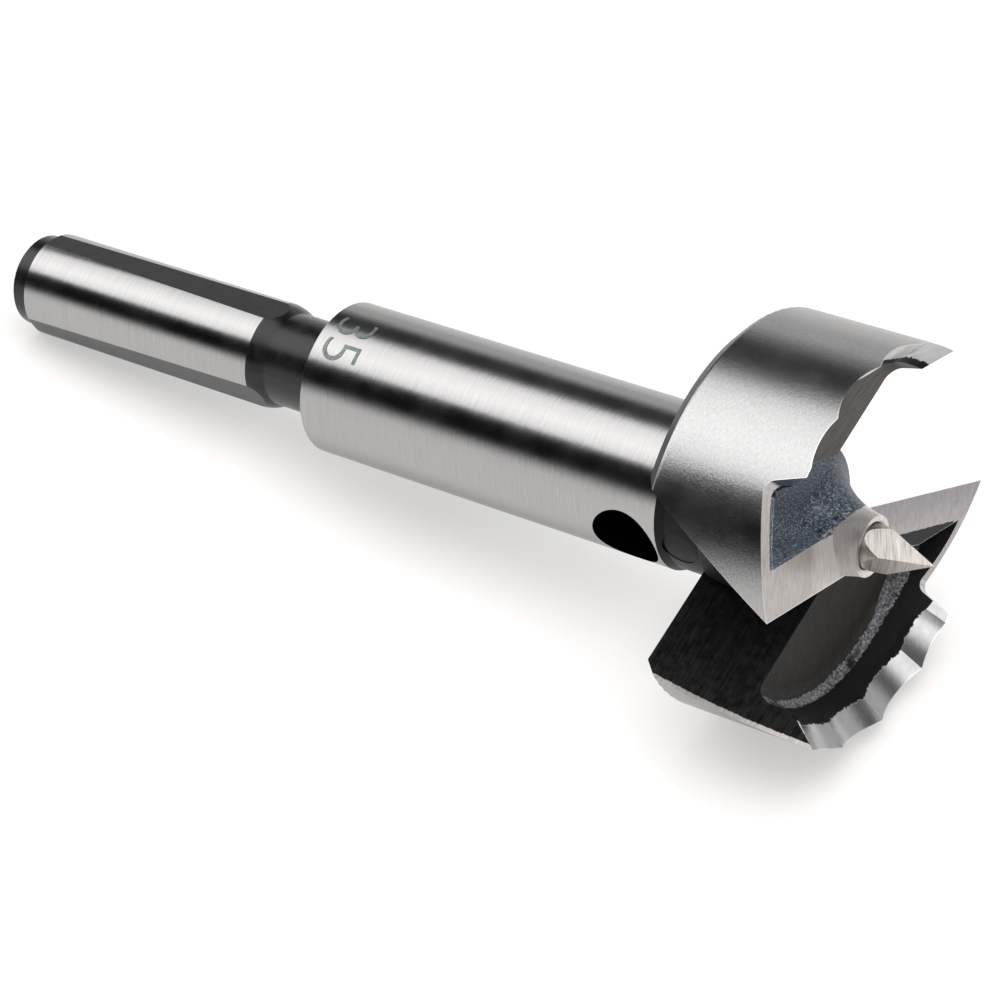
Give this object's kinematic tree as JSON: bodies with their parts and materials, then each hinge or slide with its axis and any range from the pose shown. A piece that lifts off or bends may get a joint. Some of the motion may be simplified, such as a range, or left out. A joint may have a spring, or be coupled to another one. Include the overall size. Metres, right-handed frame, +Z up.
{
  "type": "forstner bit",
  "caption": "Stepped steel drill bit with a round shank, a thick cross-drilled shaft and a two-winged head with straight lips, a waved rim and a faceted centre point.",
  "frame": {"origin": "middle of the bit's outline on the table, where it lies on the round back of the lower wing and the start of its shank", "axes": "+X from the shank's free end towards the centre point, +Y level across the bit, +Z up; the bit's own axis rises 8.9 degrees towards the point"},
  "size_m": [0.0988, 0.0336, 0.0364],
  "materials": {
    "tool_steel": "ground and partly blackened",
    "point_steel": "ground",
    "pin_steel": "blackened"
  },
  "bodies": {
    "root": {"bit_body": "tool_steel", "centre_point": "point_steel", "retaining_pin": "pin_steel"}
  },
  "joints": []
}
